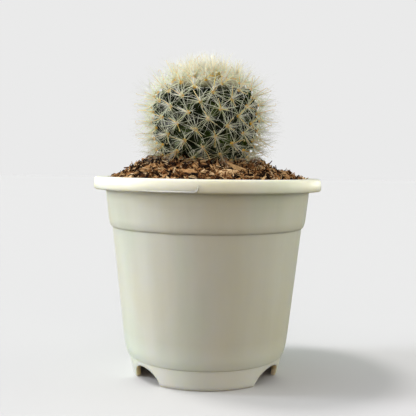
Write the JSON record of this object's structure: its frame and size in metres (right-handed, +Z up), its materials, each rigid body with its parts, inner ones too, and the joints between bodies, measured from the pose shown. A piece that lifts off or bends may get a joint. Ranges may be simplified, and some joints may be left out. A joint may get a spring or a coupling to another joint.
{
  "type": "potted round cactus",
  "caption": "Small round cactus with tubercles and spine clusters, in a mound of coconut-husk mix in a cream moulded plastic nursery pot with arched feet.",
  "frame": {"origin": "centre of the pot's foot ring, on the surface it stands on", "axes": "+Z up along the pot's axis, -Y the front"},
  "size_m": [0.1242, 0.1242, 0.1749],
  "materials": {
    "cream_plastic": "satin moulded polypropylene",
    "husk_mix": "loose fibrous coconut husk",
    "cactus_green": "waxy green skin, nearly hidden by spines",
    "root_tan": "dull fibrous bark",
    "spine_straw": "translucent straw-coloured spines on a felt pad",
    "husk_chip": "dry flaky husk"
  },
  "bodies": {
    "root": {"pot": "cream_plastic", "potting_mix": "husk_mix", "cactus_stem": "cactus_green", "roots": "root_tan", "spine_cluster_01": "spine_straw", "spine_cluster_02": "spine_straw", "spine_cluster_03": "spine_straw", "spine_cluster_04": "spine_straw", "spine_cluster_05": "spine_straw", "spine_cluster_06": "spine_straw", "spine_cluster_07": "spine_straw", "spine_cluster_08": "spine_straw", "spine_cluster_09": "spine_straw", "spine_cluster_10": "spine_straw", "spine_cluster_11": "spine_straw", "spine_cluster_12": "spine_straw", "spine_cluster_13": "spine_straw", "spine_cluster_14": "spine_straw", "spine_cluster_15": "spine_straw", "spine_cluster_16": "spine_straw", "spine_cluster_17": "spine_straw", "spine_cluster_18": "spine_straw", "spine_cluster_19": "spine_straw", "spine_cluster_20": "spine_straw", "spine_cluster_21": "spine_straw", "spine_cluster_22": "spine_straw", "spine_cluster_23": "spine_straw", "spine_cluster_24": "spine_straw", "spine_cluster_25": "spine_straw", "spine_cluster_26": "spine_straw", "spine_cluster_27": "spine_straw", "spine_cluster_28": "spine_straw", "spine_cluster_29": "spine_straw", "spine_cluster_30": "spine_straw", "spine_cluster_31": "spine_straw", "spine_cluster_32": "spine_straw", "spine_cluster_33": "spine_straw", "spine_cluster_34": "spine_straw", "spine_cluster_35": "spine_straw", "spine_cluster_36": "spine_straw", "spine_cluster_37": "spine_straw", "spine_cluster_38": "spine_straw", "spine_cluster_39": "spine_straw", "spine_cluster_40": "spine_straw", "spine_cluster_41": "spine_straw", "spine_cluster_42": "spine_straw", "spine_cluster_43": "spine_straw", "husk_chip_01": "husk_chip", "husk_chip_02": "husk_chip", "husk_chip_03": "husk_chip", "husk_chip_04": "husk_chip", "husk_chip_05": "husk_chip", "husk_chip_06": "husk_chip", "husk_chip_07": "husk_chip", "husk_chip_08": "husk_chip"}
  },
  "joints": []
}
